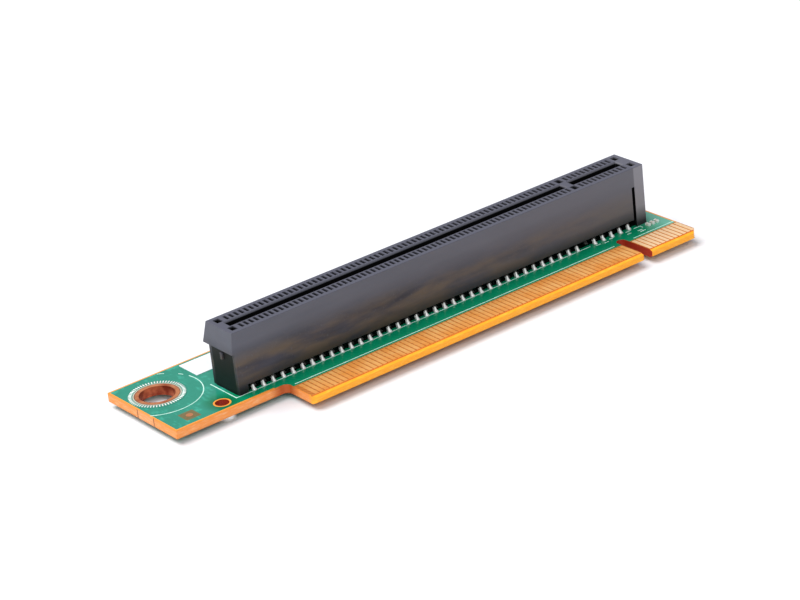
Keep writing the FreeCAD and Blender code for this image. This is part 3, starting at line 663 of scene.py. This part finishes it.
# Where the rounded normal turns away from the plain one, the skin gets a painted highlight.
rounded = add_node(tree, "Bevel", {"Radius": 0.1 * MM}, samples=4)
plain_normal = add_node(tree, "NewGeometry", output="Normal")
agreement = add_node(tree, "VectorMath", [rounded, plain_normal], "Value", operation="DOT_PRODUCT")
tone = coats(
    tree, linear("#222229"),
    (flow, linear("#4C4C57")),
    (painted_board_reflection, linear("#645646")),
    # painted reflection of the bluish room, stronger higher up
    (add_node(tree, "MapRange", [above, STEP_Z, SKY_REFLECTION_TO_Z, 0.0, 0.55]), linear("#6A6C76")),
    (add_node(tree, "MapRange", [specks, 0.62, 0.72, 0.0, 0.35]), linear("#5C5A60")),
    (add_node(tree, "MapRange", [along, PALER_FROM_X, END_SLIT_X, 0.0, 0.6]), linear("#68666C")),
    (add_node(tree, "MapRange", [along, END_SLIT_X - 0.1, END_SLIT_X + 0.1, 0.0, 0.6]),
     linear("#96949A")),
    # painted shade, darker low down
    (add_node(tree, "MapRange", [above, LOW_SHADE_FROM_Z, LOW_SHADE_TO_Z, 0.9, 0.0]), linear("#0B0B0D")),
    (shaded_end_face, linear("#060607")),
    # painted sheen on the roof
    (add_node(tree, "MapRange", [above, ROOF_Z - 0.05, ROOF_Z, 0.0, 0.8]), linear("#50505C")),
    (add_node(tree, "Math", [inside, in_slit], operation="MAXIMUM"), linear("#040405")),
    (on_pip, linear("#A8ACB4")),
    (add_node(tree, "MapRange", [agreement, 0.75, 0.98, 0.6, 0.0]), linear("#74747F")))
tree.links.new(tone, shader.inputs["Base Color"])
gloss = add_node(tree, "MapRange", [grain, 0.0, 1.0, 0.55, 0.42])
tree.links.new(gloss, shader.inputs["Roughness"])
shader.inputs["IOR"].default_value = 1.45
shader.inputs["Specular IOR Level"].default_value = 0.32
bump = add_node(
    tree, "Bump", {"Height": grain, "Strength": 0.35, "Distance": 0.04 * MM, "Normal": rounded})
tree.links.new(bump, shader.inputs["Normal"])
dress("slot_housing", resin)


# ---- the contacts ----
# Strips stamped from phosphor bronze, pressed into the cells. Their tails are tinned and soldered
# into the board; the bent ends that touch the card are plated with gold.
CELL_SHADE_FROM_Z = 2.2

# Tinned strip: metal, bright up to the housing's foot. Inside the cells and on the inner rows under the
# housing it is painted dark brown as shade, and the gold on the bent ends doesn't show.
strip_metal, tree, shader = new_material("tinned_phosphor_bronze")
place, along, across, above = millimetres(tree)
drawn = add_node(tree, "TexNoise", {"Vector": place, "Scale": 1.5, "Detail": 2.0})
# Painted shade on the inner rows under the housing and inside the cells.
housing_shade = where_all(
    tree, within(tree, (across, SLOT_Y, INNER_REACH)),
    add_node(tree, "Math", [above, BOARD_TOP], operation="GREATER_THAN"))
in_cell = add_node(tree, "MapRange", [above, CELL_SHADE_FROM_Z, CELL_SHADE_FROM_Z + 0.1])
housing_shade = add_node(tree, "Math", [housing_shade, in_cell], operation="MAXIMUM")
tone = coats(tree, linear("#E4E6E4"), (drawn, linear("#FDFEFC")), (housing_shade, linear("#2E2418")))
tree.links.new(tone, shader.inputs["Base Color"])
gloss = add_node(tree, "MapRange", [drawn, 0.0, 1.0, 0.5, 0.3])
tree.links.new(gloss, shader.inputs["Roughness"])
shader.inputs["Metallic"].default_value = 0.3
for side in ("front", "rear"):
    dress(f"contacts_{side}_outer", strip_metal)
    dress(f"contacts_{side}_inner", strip_metal)


# ---- the solder joints ----
# Each tail stands in its plated hole in a cone of solder, low on top of the board and taller round
# the tail's end below, where the solder wave met it.
KEY_X = 83.25
KEY_GAP = 3.0
CONTACT_PITCH = 1.0
LONG_COUNT = 71
SHORT_COUNT = 11
OUTER_ROW = 3.15
INNER_ROW = 1.65
FOOT_RADIUS = 0.42
FOOT_LEAN = 0.42
NECK_RADIUS = 0.17
TOP_HEIGHT = 0.85
UNDER_HEIGHT = 0.95
CONE_SIDES = 12

contact_x = np.concatenate([
    KEY_X - KEY_GAP / 2 - CONTACT_PITCH * np.arange(LONG_COUNT)[::-1],
    KEY_X + KEY_GAP / 2 + CONTACT_PITCH * np.arange(SHORT_COUNT)])
outer_x = np.concatenate([contact_x[:LONG_COUNT:2], contact_x[LONG_COUNT + 1::2]])
inner_x = np.concatenate([contact_x[1:LONG_COUNT:2], contact_x[LONG_COUNT::2]])
tails = np.concatenate([
    np.stack([row_x, np.full(len(row_x), SLOT_Y + side * row)], axis=1)
    for row_x, row in ((outer_x, OUTER_ROW), (inner_x, INNER_ROW)) for side in (-1, 1)])


def flow_cones(base, height, lean):
    """Solder cones about the tails: at t from 0 to 1 up the tail the radius is
    neck + (foot - neck) (1 - t) ^ 2.4, with each foot wider or narrower by up to a tenth, and the
    middle drifts from the slot by lean (1 - t) ^ 1.6; the first and last rows close on the axis."""
    t = np.linspace(0, 1, 5)
    turn = 2 * pi * np.arange(CONE_SIDES) / CONE_SIDES
    foot = FOOT_RADIUS * (1 + draw.uniform(-0.1, 0.1, len(tails)))[:, None, None]
    radius = NECK_RADIUS + (foot - NECK_RADIUS) * ((1 - t) ** 2.4)[None, :, None]
    drift = lean * ((1 - t) ** 1.6)[None, :, None]
    away = np.sign(tails[:, 1] - SLOT_Y)[:, None, None]
    x = tails[:, 0, None, None] + radius * np.cos(turn)
    y = tails[:, 1, None, None] + radius * np.sin(turn) + away * drift
    z = np.broadcast_to(base + height * t[None, :, None], x.shape)
    walls = np.stack([x, y, z], axis=-1)
    axis = walls.mean(axis=2, keepdims=True).repeat(CONE_SIDES, axis=2)
    return list(np.concatenate([axis[:, :1], walls, axis[:, -1:]], axis=1))


cones = flow_cones(BOARD_TOP, TOP_HEIGHT, FOOT_LEAN) + flow_cones(0.0, -UNDER_HEIGHT, 0.0)
make_piece("solder_joints", cones, solder, smooth=True)


# ---- the label ----
# A blank white label, cut from a roll of film with its own adhesive and stuck on the mask behind the
# connector.

# Vinyl film: white, satin, with a faint print-coat mottle 0.7 mm across.
vinyl, tree, shader = new_material("white_vinyl_film")
place, along, across, above = millimetres(tree)
coat = add_node(tree, "TexNoise", {"Vector": place, "Scale": 1.4, "Detail": 3.0})
tone = coats(tree, linear("#DDE0E4"), (coat, linear("#EEF1F4")))
tree.links.new(tone, shader.inputs["Base Color"])
shader.inputs["Roughness"].default_value = 0.42
bump = add_node(tree, "Bump", {"Height": coat, "Strength": 0.2, "Distance": 0.01 * MM})
tree.links.new(bump, shader.inputs["Normal"])
dress("label", vinyl)


# ---- the chips ----
# Three ceramic chip parts, 1.0 x 0.5 mm, with tinned ends, reflow-soldered side by side.
# Each body is a fired block, and its ends are dipped.

# Fired ceramic: dense, pale grey-brown, satin; the ends are the same tin as the solder.
ceramic, tree, shader = new_material("fired_ceramic")
place, along, across, above = millimetres(tree)
speckle = add_node(tree, "TexNoise", {"Vector": place, "Scale": 9.0, "Detail": 2.0})
tone = coats(tree, linear("#BDB7A4"), (speckle, linear("#DAD5C6")))
tree.links.new(tone, shader.inputs["Base Color"])
shader.inputs["Roughness"].default_value = 0.4
for number in (1, 2, 3):
    dress(f"chip_{number}_body", ceramic)
    dress(f"chip_{number}_terminals", solder)
